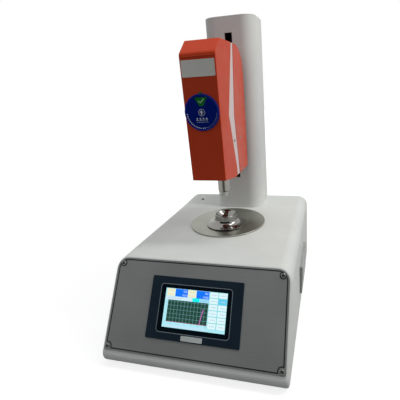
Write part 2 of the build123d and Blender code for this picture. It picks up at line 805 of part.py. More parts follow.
def printer_door():
    """Paper door: slightly crowned plate, rolled round its hinge pin, with a tear lip."""
    x0, top = HINGE_X - 2.2, cutout[1] - 1.6
    mid = (top + HINGE_Z) / 2
    crown = (printer_face(top) - 0.5, top - 3)
    foot = (printer_face(HINGE_Z), HINGE_Z)
    outline = [
        Polyline((x0, HINGE_Z), (x0, top), (printer_face(top) - 1.6, top), crown),
        ThreePointArc(crown, (printer_face(mid) + 0.3, mid), foot),
        Line(foot, (x0, HINGE_Z)),
    ]
    face = Plane.XZ * filled(*outline)
    door = Pos(0, DOOR_Y1, 0) * extrude(face, DOOR_Y1 - DOOR_Y0)
    door += lying(HINGE_X, DOOR_Y0, DOOR_Y1, HINGE_Z, 2.2)
    door -= lying(HINGE_X, DOOR_Y0 - 1, DOOR_Y1 + 1, HINGE_Z, PIN_R + FIT)
    for i in range(3):
        z = 80 + 2.4 * i
        door -= block(printer_face(z) - 0.8, printer_face(z) + 2, 34, 58, z, z + 1.2)
    return door


def printer_housing():
    """Paper bucket behind the door, open to the front, with roller bearings."""
    x0, x1 = 108.0, WALL_X
    box = block(x0, x1, 2.4, 87.6, 43.3, 92.7)
    box = fillet(box.edges().filter_by(Axis.Y).group_by(Axis.X)[0], 8)
    hollow = block(x0 + 2, x1 + 5, 5, 85, 45.3, 90.7)
    hollow = fillet(hollow.edges().filter_by(Axis.Y).group_by(Axis.X)[0], 6)
    return box - hollow - lying(150, 0, 90, 86, 2.0 + FIT)


def platen_roller():
    """Rubber feed roller on its steel shaft, with a drive gear at one end."""
    roller = lying(150, 8, 80, 86, 4.2) + lying(150, 3, 87, 86, 2.0)
    gear = lying(150, 81, 83.5, 86, 4.4)
    for i in range(14):
        a = 2 * pi * i / 14
        gear -= lying(150 + 4.6 * cos(a), 80.5, 84, 86 + 4.6 * sin(a), 0.45)
    return roller + gear


def feed_button():
    """Square push button with a retaining flange."""
    key = block(WALL_X + 0.6, printer_face(73) + 0.8, -11, -2, 63, 73)
    key = fillet(key.faces().sort_by(Axis.X)[-1].edges(), 0.8)
    return key + block(WALL_X + 0.6, WALL_X + 1.7, -13, 0, 61, 75)


parts["printer_bezel"] = printer_bezel()
parts["printer_door"] = printer_door()
parts["door_hinge_pin"] = lying(HINGE_X, DOOR_Y0 - 4, DOOR_Y1 + 3, HINGE_Z, PIN_R)
parts["printer_housing"] = printer_housing()
parts["platen_roller"] = platen_roller()
parts["print_head"] = block(138, 143.5, 12, 78, 80, 90.7) + block(143.4, 145.2, 14, 76, 84, 88)
parts["feed_button"] = feed_button()


# Rear service panel


def rear_panel():
    """Plate inside the rear opening, with air slots, inlet and switch cut-outs."""
    plate = block(-136, 136, 216, 217.5, 22, 118)
    for x in range(-110, -49, 10):
        plate -= block(x - 1.5, x + 1.5, 210, 220, 40, 100)
    plate -= block(INLET_X - 14, INLET_X + 14, 210, 220, SERVICE_Z - 10.5, SERVICE_Z + 10.5)
    plate -= block(SWITCH_X - 10.5, SWITCH_X + 10.5, 210, 220, 78, 92)
    for x, z in service_screws():
        plate -= Pos(x, 217, z) * Rot(90, 0, 0) * Cylinder(1.6, 10)
    return plate


def service_screws():
    """Corners of the rear plate."""
    return [(sx * 126, z) for sx in (-1, 1) for z in (32, 108)]


def power_inlet():
    """Mains inlet with its shaped socket."""
    y = 217.5
    flange = Pos(INLET_X, y, SERVICE_Z) * Rot(-90, 0, 0) * rounded_plate(50, 23, 2, 4)
    body = block(INLET_X - 13.6, INLET_X + 13.6, 198, y, SERVICE_Z - 10, SERVICE_Z + 10)
    shape = flange + body
    socket = block(INLET_X - 12, INLET_X + 12, 203, 225, SERVICE_Z - 8, SERVICE_Z + 8)
    shape -= chamfer(socket.edges().filter_by(Axis.Y).group_by(Axis.Z)[0], 4)
    return shape


def inlet_pins():
    """The three flat pins, rooted in the back of the socket."""
    pins = []
    for dx, dz in ((-7, -2.5), (0, 2.5), (7, -2.5)):
        x, z = INLET_X + dx, SERVICE_Z + dz
        pin = block(x - 1, x + 1, 203, 216, z - 2, z + 2)
        pins.append(chamfer(pin.faces().sort_by(Axis.Y)[-1].edges(), 0.5))
    return pins


def switch_frame():
    """Rocker switch case with its well."""
    case = block(SWITCH_X - 10.2, SWITCH_X + 10.2, 200, 217.5, 78.3, 91.7)
    case += block(SWITCH_X - 12, SWITCH_X + 12, 217.5, 219, 76.5, 93.5)
    case -= block(SWITCH_X - 8.8, SWITCH_X + 8.8, 208, 225, 80, 90)
    return case - post(SWITCH_X, ROCKER_Y, 79, 91, 1.2 + FIT)


def switch_rocker():
    """Rocker with two sloped pads on a cross axle, pressed down at one end."""
    outline = [(-7.6, 1.5), (-7.6, 4.9), (0, 3.1), (7.6, 4.9), (7.6, 1.5), (0, -3.5)]
    rock = extrude(make_face(Polyline(*outline, close=True)), 4.6, both=True)
    rock += Cylinder(1.2, 11.6)
    return Pos(SWITCH_X, ROCKER_Y, 85) * Rot(0, 0, -8) * rock


parts["rear_panel"] = rear_panel()
parts["rear_panel_screws"] = group(
    [Pos(x, 217.5, z) * Rot(-90, 0, 0) * pan_screw(3, 1.8, 1.5, 6) for x, z in service_screws()]
)
parts["power_inlet"] = power_inlet()
parts["inlet_pins"] = group(inlet_pins())
parts["power_switch_frame"] = switch_frame()
parts["power_switch_rocker"] = switch_rocker()


# Electronics in the base

floor_z = FOOT_H + SHEET + 2.5


def control_board():
    """Circuit board with its processor, driver heat sink, capacitors and plugs."""
    z = floor_z + 8
    board = block(-135, -25, -110, 10, z, z + 1.6)
    board += block(-100, -80, -70, -50, z + 1, z + 3.4)
    sink = block(-60, -35, -60, -20, z + 1, z + 16)
    for i in range(5):
        sink -= block(-57.5 + 5 * i, -55 + 5 * i, -70, -10, z + 6, z + 20)
    board += sink
    for y in (-95, -82):
        board += post(-50, y, z + 1, z + 20, 5)
    for x in range(-125, -60, 16):
        board += block(x - 5, x + 5, -2, 8, z + 1, z + 10)
    return board


def power_supply():
    """Enclosed supply with a slotted lid and a terminal strip."""
    case = block(10, 100, -115, 15, floor_z, floor_z + 34)
    case = chamfer(case.edges().filter_by(Axis.Y).group_by(Axis.Z)[-1], 1)
    case -= block(8, 102, 0, 20, floor_z + 18, floor_z + 40)
    for i in range(8):
        case -= block(20, 90, -105 + 12 * i, -102 + 12 * i, floor_z + 32, floor_z + 40)
    for i in range(7):
        case += block(16 + 11 * i, 24 + 11 * i, 2, 12, floor_z + 17, floor_z + 24)
    return case


parts["control_board"] = control_board()
parts["board_standoffs"] = group(
    [post(x, y, floor_z, floor_z + 8, 3) for x in (-130, -30) for y in (-105, 5)]
)
parts["power_supply"] = power_supply()

os.makedirs("parts", exist_ok=True)
for name, shape in parts.items():
    export_step(shape, f"parts/{name}.step")
    print(name, len(shape.solids()))
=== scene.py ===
import json
from math import asin, cos, degrees, radians, sin

import bpy
from mathutils import Matrix, Vector


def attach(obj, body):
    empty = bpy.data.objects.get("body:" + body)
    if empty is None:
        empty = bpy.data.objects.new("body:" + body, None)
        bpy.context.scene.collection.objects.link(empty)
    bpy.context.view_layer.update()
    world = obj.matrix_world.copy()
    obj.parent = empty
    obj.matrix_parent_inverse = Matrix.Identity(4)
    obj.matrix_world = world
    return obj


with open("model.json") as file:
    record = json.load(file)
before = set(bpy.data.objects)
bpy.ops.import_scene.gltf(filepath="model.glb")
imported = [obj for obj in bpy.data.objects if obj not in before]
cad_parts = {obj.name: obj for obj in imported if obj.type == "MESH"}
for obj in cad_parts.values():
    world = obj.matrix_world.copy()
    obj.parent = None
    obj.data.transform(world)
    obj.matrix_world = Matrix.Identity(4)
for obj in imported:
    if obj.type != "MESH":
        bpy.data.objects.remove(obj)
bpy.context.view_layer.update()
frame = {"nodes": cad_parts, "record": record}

MM = 0.001

# Printed faces, in mm
PANEL_ANGLE = radians(57)
PANEL_Y, PANEL_Z = -140.8, 148.9
HEAD_LEAN = 7.5 / 213.5
HEAD_LOW_Y, HEAD_LOW_Z = -56, 277.5
DISC_Z = 397.8
SCREEN_LEFT, SCREEN_TOP = -54.4, -34.8
SCREEN_WIDE, SCREEN_HIGH = 108.8, 60.9

# Heights of the printed layers above the panel and above the head's front, in mm
PANEL_INK, SCREW_ARC = 0.04, 0.045
PAGE, CELL, RAISED, AXIS, INK, TRACE = 1.28, 1.31, 1.34, 1.36, 1.38, 1.40
TRIM = 1.66
DISC_FACE, HUB_FACE, WHEEL_FACE = 3.0, 3.95, 1.46

# Paint
WHITE = (0.645, 0.665, 0.64)
COLUMN_WHITE = (0.655, 0.66, 0.64)
RED = (0.54, 0.053, 0.0165)
COAT_EDGE = 0.0005
WEAR_REACH = 0.0008
WEAR = 0.25

# Seven-stroke figures: the ends of each stroke on a grid of 1 by 2, and the strokes of 0 to 9
STROKES = {
    "a": (0, 2, 1, 2), "b": (1, 2, 1, 1), "c": (1, 1, 1, 0), "d": (0, 0, 1, 0),
    "e": (0, 1, 0, 0), "f": (0, 2, 0, 1), "g": (0, 1, 1, 1),
}
FIGURES = (
    "abcdef", "bc", "abged", "abgcd", "fgbc", "afgcd", "afgecd", "abc", "abcdefg", "abcdfg",
)

# Colour sockets of a mix node, whose names also belong to its other kinds of value
MIX_A, MIX_B, MIX_RESULT = 6, 7, 2

scene = bpy.context.scene


def srgb(r, g, b):
    """Linear colour from 0-255 display values."""
    out = []
    for c in (r, g, b):
        c = c / 255
        out.append(c / 12.92 if c <= 0.04045 else ((c + 0.055) / 1.055) ** 2.4)
    return tuple(out)


def shade(colour, k):
    """Colour made darker or lighter by a factor."""
    return tuple(min(1.0, c * k) for c in colour)


def add_object(name, data):
    """New object, linked to the scene."""
    obj = bpy.data.objects.new(name, data)
    scene.collection.objects.link(obj)
    return obj


def add_node(tree, kind, **props):
    """New shader node with its properties set."""
    made = tree.nodes.new("ShaderNode" + kind)
    for key, value in props.items():
        setattr(made, key, value)
    return made


class Plane:
    """A flat face of the part: x across, v up the face, out along its normal, in mm."""

    def __init__(self, origin, normal):
        self.origin = Vector(origin) * MM
        self.x = Vector((1, 0, 0))
        self.n = Vector(normal).normalized()
        self.v = self.n.cross(self.x)

    def at(self, x, v, out):
        """Point on or above the face, in metres."""
        return self.origin + (self.x * x + self.v * v + self.n * out) * MM


panel = Plane((0, PANEL_Y, PANEL_Z), (0, -sin(PANEL_ANGLE), cos(PANEL_ANGLE)))
head = Plane((0, HEAD_LOW_Y - HEAD_LEAN * (DISC_Z - HEAD_LOW_Z), DISC_Z), (0, -1, -HEAD_LEAN))


# Materials


class Shader:
    """Principled material with helpers for its procedural detail."""

    def __init__(self, name, **sockets):
        self.mat = bpy.data.materials.new(name)
        self.mat.use_nodes = True
        self.tree = self.mat.node_tree
        self.bsdf = self.tree.nodes["Principled BSDF"]
        self.coords = self.node("TexCoord").outputs["Object"]
        for key, value in sockets.items():
            self.bsdf.inputs[key].default_value = value

    def node(self, kind, **props):
        return add_node(self.tree, kind, **props)

    def link(self, a, b):
        self.tree.links.new(a, b)

    def scaled(self, scale, origin=(0, 0, 0)):
        """Object coordinates measured from a point and stretched."""
        mapping = self.node("Mapping")
        mapping.inputs["Scale"].default_value = scale
        mapping.inputs["Location"].default_value = [-o * s for o, s in zip(origin, scale)]
        self.link(self.coords, mapping.inputs["Vector"])
        return mapping.outputs["Vector"]

    def noise(self, scale, detail, rough=0.5, stretch=(1, 1, 1)):
        texture = self.node("TexNoise")
        texture.inputs["Scale"].default_value = scale
        texture.inputs["Detail"].default_value = detail
        texture.inputs["Roughness"].default_value = rough
        self.link(self.scaled(stretch), texture.inputs["Vector"])
        return texture.outputs["Fac"]

    def remap(self, value, lo, hi, start=0.3, end=0.7):
        """Value taken from start..end to lo..hi, and held at both ends."""
        ranged = self.node("MapRange")
        ranged.inputs["From Min"].default_value = start
        ranged.inputs["From Max"].default_value = end
        ranged.inputs["To Min"].default_value = lo
        ranged.inputs["To Max"].default_value = hi
        self.link(value, ranged.inputs["Value"])
        return ranged.outputs["Result"]

    def math(self, operation, a, b=0.0):
        """Result of an operation on two values; each is a number or a socket."""
        made = self.node("Math", operation=operation)
        for socket, value in zip(made.inputs, (a, b)):
            if isinstance(value, (int, float)):
                socket.default_value = value
            else:
                self.link(value, socket)
        return made.outputs["Value"]

    def times(self, a, b):
        return self.math("MULTIPLY", a, b)

    def mix(self, factor, a, b):
        """Colour between a and b; each is a tuple or a socket."""
        made = self.node("Mix", data_type="RGBA")
        self.link(factor, made.inputs["Factor"])
        for socket, value in ((made.inputs[MIX_A], a), (made.inputs[MIX_B], b)):
            if isinstance(value, tuple):
                socket.default_value = (*value, 1)
            else:
                self.link(value, socket)
        return made.outputs[MIX_RESULT]

    def colour(self, socket):
        self.link(socket, self.bsdf.inputs["Base Color"])

    def roughness(self, socket):
        self.link(socket, self.bsdf.inputs["Roughness"])

    def bevelled(self, radius):
        """Normal that turns gradually across each edge."""
        bevel = self.node("Bevel", samples=4)
        bevel.inputs["Radius"].default_value = radius
        return bevel.outputs["Normal"]

    def relief(self, height, strength, distance, soft_edge):
        """Bump from a height, over edges that look slightly rounded."""
        bump = self.node("Bump")
        bump.inputs["Strength"].default_value = strength
        bump.inputs["Distance"].default_value = distance
        self.link(height, bump.inputs["Height"])
        self.link(self.bevelled(soft_edge), bump.inputs["Normal"])
        self.link(bump.outputs["Normal"], self.bsdf.inputs["Normal"])

    def edge_mask(self, radius):
        """Near 1 along sharp edges, where a coating thins."""
        flat = self.node("NewGeometry").outputs["True Normal"]
        dot = self.node("VectorMath", operation="DOT_PRODUCT")
        self.link(self.bevelled(radius), dot.inputs[0])
        self.link(flat, dot.inputs[1])
        return self.remap(dot.outputs["Value"], 1.0, 0.0, start=0.85, end=0.995)


def painted_highlight_line(s, body):
    """Painted highlight: a pale line across the hood's top at its bend, stronger on the left half.
    """
    line_y = 0.1395
    place = s.node("SeparateXYZ")
    s.link(s.coords, place.inputs["Vector"])
    away = s.math("ABSOLUTE", s.math("SUBTRACT", place.outputs["Y"], line_y))
    on_line = s.times(s.remap(away, 1, 0, start=0.0004, end=0.0036), 0.8)
    on_top = s.remap(place.outputs["Z"], 0, 1, start=0.150, end=0.157)
    on_left = s.remap(place.outputs["X"], 1, 0.12, start=0.0, end=0.08)
    painted_highlight = s.times(s.times(on_line, on_top), on_left)
    # painted highlight: the paint made lighter along the line
    return s.mix(painted_highlight, body, shade(WHITE, 1.24))


def painted_shade_in_bore(s, body):
    """Painted shade: the inside of the column, all that is nearer to its core than the wall is,
    made near black.
    """
    centre, core = (0, 0.1745, 0), (0.027, 0.0155, 10)
    wall, blur = 0.025, 0.0005
    run = s.coords
    steps = (
        ("SUBTRACT", centre),
        ("ABSOLUTE", None),
        ("SUBTRACT", core),
        ("MAXIMUM", (0, 0, 0)),
        ("LENGTH", None),
    )
    for operation, other in steps:
        step = s.node("VectorMath", operation=operation)
        s.link(run, step.inputs[0])
        if other is not None:
            step.inputs[1].default_value = other
        run = step.outputs["Value" if operation == "LENGTH" else "Vector"]
    inner = s.remap(run, 1, 0, start=wall - blur, end=wall + blur)
    # painted shade: near-black colour inside the column
    return s.mix(inner, body, (0.006, 0.006, 0.008))


def disc_rim_highlight(s, body):
    """Painted highlight: a lighter ring round the rim of the status disc."""
    reach = s.node("VectorMath", operation="LENGTH")
    s.link(s.scaled((1, 1, 1), head.at(0, 0, 2.9)), reach.inputs[0])
    rim = s.remap(reach.outputs["Value"], 0, 1, start=0.0272, end=0.0296)
    return s.mix(rim, body, (0.004, 0.021, 0.31))


def coated(name, colour, rough=0.42, peel=0.12, detail=None):
    """Powder coat or paint: orange peel, faint mottling and thinner paint on the edges."""
    s = Shader(name)
    mottle = s.noise(9, 4, 0.6)
    body = s.mix(s.remap(mottle, 0, 1), shade(colour, 0.95), shade(colour, 1.04))
    if detail:
        body = detail(s, body)
    specks = s.remap(s.noise(240, 2), 0, 1, start=0.66, end=0.74)
    body = s.mix(s.times(specks, 0.10), body, shade(colour, 0.55))
    thin = s.times(s.edge_mask(WEAR_REACH), s.remap(s.noise(60, 4), 0, WEAR))
    s.colour(s.mix(thin, body, shade(colour, 1.35)))
    s.roughness(s.remap(s.noise(30, 3), rough - 0.05, rough + 0.06))
    s.relief(s.noise(650, 3, 0.55), strength=peel, distance=0.0006, soft_edge=COAT_EDGE)
    return s.mat


def moulded(name, colour, rough=0.5, grain=0.25, scale=900, detail=None):
    """Moulded plastic or rubber with a fine eroded grain."""
    s = Shader(name)
    dust = s.remap(s.noise(24, 5, 0.65), 0, 1, start=0.45, end=0.8)
    body = s.mix(dust, shade(colour, 0.92), shade(colour, 1.18))
    if detail:
        body = detail(s, body)
    s.colour(body)
    s.roughness(s.remap(s.noise(45, 3), rough - 0.07, rough + 0.08))
    s.relief(s.noise(scale, 2), strength=grain, distance=0.0004, soft_edge=0.0003)
    return s.mat


def brushed(name, colour, rough, along):
    """Metal with straight brushing lines."""
    s = Shader(name, Metallic=1.0, Anisotropic=0.5)
    lines = s.noise(1.0, 4, 0.7, along)
    smear = s.noise(14, 4, 0.6)
    tone = s.mix(s.remap(lines, 0, 1), shade(colour, 0.86), shade(colour, 1.12))
    s.colour(s.mix(s.remap(smear, 0, 0.3), tone, shade(colour, 0.8)))
    dull = s.remap(smear, rough - 0.05, rough + 0.03)
    s.roughness(s.math("ADD", dull, s.remap(lines, 0, 0.06)))
    s.relief(lines, strength=0.12, distance=0.0002, soft_edge=0.0003)
    return s.mat


def polished(name, colour, rough):
    """Polished metal with faint handling marks."""
    s = Shader(name, Metallic=1.0)
    marks = s.noise(55, 5, 0.7)
    s.colour(s.mix(s.remap(marks, 0, 1), shade(colour, 0.93), colour))
    s.roughness(s.remap(marks, rough, rough + 0.07, start=0.4, end=0.75))
    s.relief(s.noise(260, 3), strength=0.03, distance=0.0003, soft_edge=0.0003)
    return s.mat


def turned(name, colour, centre, rough):
    """Lathe-faced disc: circular lines round its centre and a fan-shaped sheen."""
    s = Shader(name, Metallic=1.0, Anisotropic=0.65)
    spread = s.scaled((1, 1, 0), centre)
    length = s.node("VectorMath", operation="LENGTH")
    s.link(spread, length.inputs[0])
    rings = s.node("TexNoise", noise_dimensions="1D")
    rings.inputs["Scale"].default_value = 2200
    rings.inputs["Detail"].default_value = 3
    s.link(length.outputs["Value"], rings.inputs["W"])
    lines = rings.outputs["Fac"]
    smear = s.noise(18, 4, 0.6)
    tone = s.mix(s.remap(lines, 0, 1), shade(colour, 0.84), shade(colour, 1.12))
    s.colour(s.mix(s.remap(smear, 0, 0.25), tone, shade(colour, 0.75)))
    s.roughness(s.remap(smear, rough - 0.04, rough + 0.05))
    s.relief(lines, strength=0.10, distance=0.0002, soft_edge=0.0003)
    round_z = s.node("Tangent", direction_type="RADIAL", axis="Z")
    s.link(round_z.outputs["Tangent"], s.bsdf.inputs["Tangent"])
    return s.mat


def anodised(name, colour, rough=0.45):
    """Anodised sheet: half metal, with fine lines across it."""
    s = Shader(name, Metallic=0.45)
    lines = s.noise(1.0, 3, 0.6, (10, 1200, 1200))
    cloud = s.noise(7, 3, 0.55)
    tone = s.mix(s.remap(lines, 0, 1), shade(colour, 0.94), shade(colour, 1.06))
    s.colour(s.mix(s.remap(cloud, 0, 0.35), tone, shade(colour, 1.22)))
    s.roughness(s.remap(cloud, rough - 0.04, rough + 0.05))
    s.relief(lines, strength=0.04, distance=0.0002, soft_edge=0.0004)
    return s.mat


def printed(name, rough=0.4, glow=0.0, level=0.3):
    """Flat ink or display cells; the tint of each shape is stored on the mesh."""
    s = Shader(name)
    s.bsdf.inputs["Specular IOR Level"].default_value = level
    tint = s.node("Attribute", attribute_name="tint").outputs["Color"]
    grain = s.remap(s.noise(420, 2), 0, 0.04)
    if glow:
        dim = s.node("Mix", data_type="RGBA", blend_type="MULTIPLY")
        dim.inputs["Factor"].default_value = 1.0
        s.link(tint, dim.inputs[MIX_A])
        dim.inputs[MIX_B].default_value = (0.06, 0.06, 0.06, 1)
        s.colour(dim.outputs[MIX_RESULT])
        shown = s.mix(grain, tint, (0.55, 0.72, 0.75))
        s.link(shown, s.bsdf.inputs["Emission Color"])
        s.bsdf.inputs["Emission Strength"].default_value = glow
    else:
        s.colour(s.mix(grain, tint, (0.3, 0.3, 0.3)))
    s.roughness(s.remap(s.noise(80, 2), rough - 0.05, rough + 0.05))
    return s.mat


mats = {
    # hood paint with a painted highlight line along its top bend
    "hood_white": coated("hood_white_paint", WHITE, 0.58, detail=painted_highlight_line),
    "column_white": coated("column_white_paint", COLUMN_WHITE, 0.58),
    # column shell paint with painted shade inside the bore
    "column_bored": coated("column_shell_paint", COLUMN_WHITE, 0.58, detail=painted_shade_in_bore),
    "head_red": coated("head_red_paint", RED, 0.45, 0.08),
    "head_red_rear": coated("head_rear_red_paint", RED, 0.45, 0.08),
    "head_white": coated("head_white_paint", (0.66, 0.54, 0.535), 0.45, 0.08),
    "panel_grey": anodised("panel_grey_anodised", (0.260, 0.274, 0.268)),
    "bezel_dark": moulded("bezel_film", (0.009, 0.020, 0.033), 0.42, 0.08, 500),
    "screen_glass": moulded("screen_cover_glass", (0.002, 0.007, 0.012), 0.16, 0.01, 200),
    "case_black": moulded("black_moulding", (0.02, 0.02, 0.021)),
    "plate_silver": anodised("silver_plate", (0.64, 0.64, 0.60), 0.42),
    "steel_brushed": turned("turned_steel", (0.35, 0.36, 0.31), (0, 0.0394, 0), 0.34),
    "cup_chrome": polished("chrome", (0.262, 0.258, 0.242), 0.10),
    "rubber_black": moulded("black_rubber", (0.018, 0.018, 0.018), 0.7, 0.4, 700),
    # disc face with a painted highlight round its rim
    "disc_blue": moulded("disc_blue_face", (0.0, 0.011, 0.19), 0.36, 0.05, 400, disc_rim_highlight),
    "wheel_green": moulded("wheel_green_face", (0.0, 0.17, 0.012), 0.4, 0.05, 400),
    "screw_steel": polished("zinc_screw", (0.24, 0.24, 0.23), 0.26),
    "tip_white": moulded("white_tip", (0.58, 0.58, 0.53), 0.45, 0.1),
    "printer_grey": moulded("printer_plastic", (0.34, 0.35, 0.335), 0.5),
    "alu_machined": brushed("machined_aluminium", (0.62, 0.63, 0.64), 0.32, (500, 500, 12)),
    "steel_ground": polished("ground_steel", (0.55, 0.55, 0.56), 0.2),
    "bronze": polished("bronze", (0.56, 0.36, 0.14), 0.3),
    "motor_black": coated("motor_black_paint", (0.03, 0.03, 0.033)),
    "board_green": moulded("board_laminate", (0.01, 0.13, 0.05), 0.35, 0.1, 300),
    "zinc_sheet": brushed("galvanised_sheet", (0.50, 0.51, 0.52), 0.4, (300, 20, 300)),
}
specular_levels = {
    "bezel_dark": 0.14,
    "screen_glass": 0.14,
    "disc_blue": 0.04,
    "wheel_green": 0.14,
    "head_red": 0.085,
    "head_red_rear": 0.24,
    "head_white": 0.3,
    "hood_white": 0.3,
    "column_white": 0.3,
    "column_bored": 0.3,
}
for key, level in specular_levels.items():
    bsdf = mats[key].node_tree.nodes["Principled BSDF"]
    bsdf.inputs["Specular IOR Level"].default_value = level

# Pieces that differ from the others of their material slot
own_mats = {
    "head_rear_cover": mats["head_red_rear"],
    "column_shell": mats["column_bored"],
    "lead_screw": polished("black_oxide_steel", (0.02, 0.022, 0.026), 0.4),
    "top_screw": moulded("black_oxide_screw", (0.02, 0.02, 0.02)),
    "status_rivet": moulded("rivet_cap_navy", (0.002, 0.01, 0.15), 0.35),
    "chuck": polished("chuck_steel", (0.245, 0.238, 0.214), 0.14),
    "screen_nameplate": anodised("display_plate", (0.60, 0.66, 0.645), 0.42),
}
slot_of = {p["node"]: p["material_slot"] for p in frame["record"]["subparts"]}
for node, obj in frame["nodes"].items():
    obj.data.materials.clear()
    obj.data.materials.append(own_mats.get(node, mats[slot_of[node]]))


# Printed and lit details


class Print:
    """Thin flat shapes on one face, each with its own tint, gathered into one mesh."""

    def __init__(self, plane):
        self.plane = plane
        self.verts = []
        self.faces = []
        self.tints = []

    def face(self, corners, tint):
        """One face from corners that are each x, v and out."""
        start = len(self.verts)
        self.verts += [self.plane.at(*corner) for corner in corners]
        self.faces.append(list(range(start, len(self.verts))))
        self.tints.append(tint)

    def poly(self, points, tint, out):
        self.face([(x, v, out) for x, v in points], tint)

    def rect(self, x0, v0, x1, v1, tint, out):
        self.poly([(x0, v0), (x1, v0), (x1, v1), (x0, v1)], tint, out)

    def stroke(self, points, width, tint, out, closed=False):
        """Ribbon of even width along a run of points."""
        n = len(points)
        half = width / 2
        sides = []
        for i, (x, v) in enumerate(points):
            before = points[i - 1] if i or closed else points[i]
            after = points[(i + 1) % n] if i < n - 1 or closed else points[i]
            d = Vector((after[0] - before[0], after[1] - before[1])).normalized()
            sides.append(((x - d.y * half, v + d.x * half), (x + d.y * half, v - d.x * half)))
        pairs = list(zip(sides, sides[1:] + sides[:1]))
        for (p, q), (r, s) in pairs if closed else pairs[:-1]:
            self.poly([q, s, r, p], tint, out)

    def arc(self, cx, cv, r, a0, a1, width, tint, out):
        self.stroke(arc_points(cx, cv, r, a0, a1), width, tint, out)

    def number(self, text, x, v, size, tint, out):
        """Plain seven-stroke figures, right-aligned at x."""
        wide, thick = size * 0.5, size * 0.13
        dot = wide * 0.22
        steps = [wide * (0.5 if c == "." else 1.45) for c in text]
        x -= sum(steps)
        for c, step in zip(text, steps):
            if c == ".":
                self.rect(x, v, x + dot, v + dot, tint, out)
            else:
                for key in FIGURES[int(c)]:
                    x0, v0, x1, v1 = STROKES[key]
                    start = (x + x0 * wide, v + v0 * size / 2)
                    end = (x + x1 * wide, v + v1 * size / 2)
                    self.stroke([start, end], thick, tint, out)
            x += step

    def build(self, name, body, mat, finish):
        """Make the mesh, with the tint of each face stored on its corners."""
        mesh = bpy.data.meshes.new(name)
        mesh.from_pydata(self.verts, [], self.faces)
        tint = mesh.attributes.new("tint", "FLOAT_COLOR", "CORNER")
        for face, colour in zip(mesh.polygons, self.tints):
            for i in face.loop_indices:
                tint.data[i].color = (*colour, 1)
        obj = add_object(name, mesh)
        mesh.materials.append(mat)
        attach(obj, body)


class Display(Print):
    """Shapes on the screen, placed by shares of its width and height."""

    def cell(self, s0, t0, s1, t1, tint, out):
        x0, v0 = screen_point(s0, t1)
        x1, v1 = screen_point(s1, t0)
        self.rect(x0, v0, x1, v1, tint, out)

    def dashes(self, s, t, widths, tint, high=0.022):
        """Row of short bars with even gaps."""
        gap = 0.009
        for width in widths:
            self.cell(s, t, s + width, t + high, tint, INK)
            s += width + gap

    def figures(self, text, s, t, size, tint, out):
        x, v = screen_point(s, t)
        self.number(text, x, v, size, tint, out)


def arc_points(cx, cv, r, a0, a1):
    """Points along an arc from angle a0 to a1, in degrees, about one every six."""
    n = max(6, int(abs(a1 - a0) / 6))
    steps = [radians(a0 + (a1 - a0) * i / n) for i in range(n + 1)]
    return [(cx + r * cos(a), cv + r * sin(a)) for a in steps]


def screen_point(s, t):
    """Point on the panel at shares of the display's width and height."""
    return SCREEN_LEFT + SCREEN_WIDE * s, SCREEN_TOP - SCREEN_HIGH * t


def panel_line():
    """Printed line round the panel, broken by arcs round the screws."""
    ink = srgb(28, 32, 33)
    half, top, bottom, r = 148.0, 6.2, -138.5, 15.5
    foot_x, foot_v, foot_r = 145.7, -136, 6.6
    a_side = 90 - degrees(asin((half - foot_x) / foot_r))
    a_floor = 180 + degrees(asin((foot_v - bottom) / foot_r))
    right = arc_points(half - r, top - r, r, 90, 0)
    right += arc_points(foot_x, foot_v, foot_r, a_side, a_floor)
    left = [(-x, v) for x, v in reversed(right)]
    p = Print(panel)
    p.stroke(right + left, 1.9, ink, PANEL_INK, closed=True)
    for screw_x, a0, a1 in ((-141, -175, 85), (141, 95, 355)):
        p.arc(screw_x, 0, 5.3, a0, a1, 1.5, ink, SCREW_ARC)
    p.build("panel_line", "base", printed("panel_ink"), "case_black")


def value_cells(p):
    """Two columns of pale and blue cells with figures in the blue ones."""
    columns = (
        (0.035, 0.171, 0.373, ("0.00", "45.63")),
        (0.375, 0.512, 0.715, ("38.2", "12.508")),
    )
    for left, middle, right, values in columns:
        for row, value in enumerate(values):
            t = 0.012 + row * 0.098
            p.cell(left, t, middle - 0.004, t + 0.086, srgb(246, 243, 208), CELL)
            p.cell(middle, t - 0.006, right, t + 0.094, srgb(0, 116, 252), CELL)
            p.dashes(left + 0.018, t + 0.034, (0.02, 0.014, 0.022, 0.012), srgb(220, 208, 168))
            p.figures(value, right - 0.010, t + 0.070, 2.6, srgb(206, 230, 255), INK)


def title_bar(p):
    """Bar over the graph, with two cells at its right end."""
    p.cell(0.026, 0.213, 0.455, 0.291, srgb(214, 238, 248), CELL)
    p.dashes(0.05, 0.238, (0.03, 0.02, 0.05, 0.02, 0.04, 0.03), srgb(192, 208, 226))
    p.cell(0.457, 0.204, 0.571, 0.297, srgb(0, 244, 238), CELL)
    p.cell(0.576, 0.213, 0.715, 0.289, srgb(152, 216, 246), CELL)


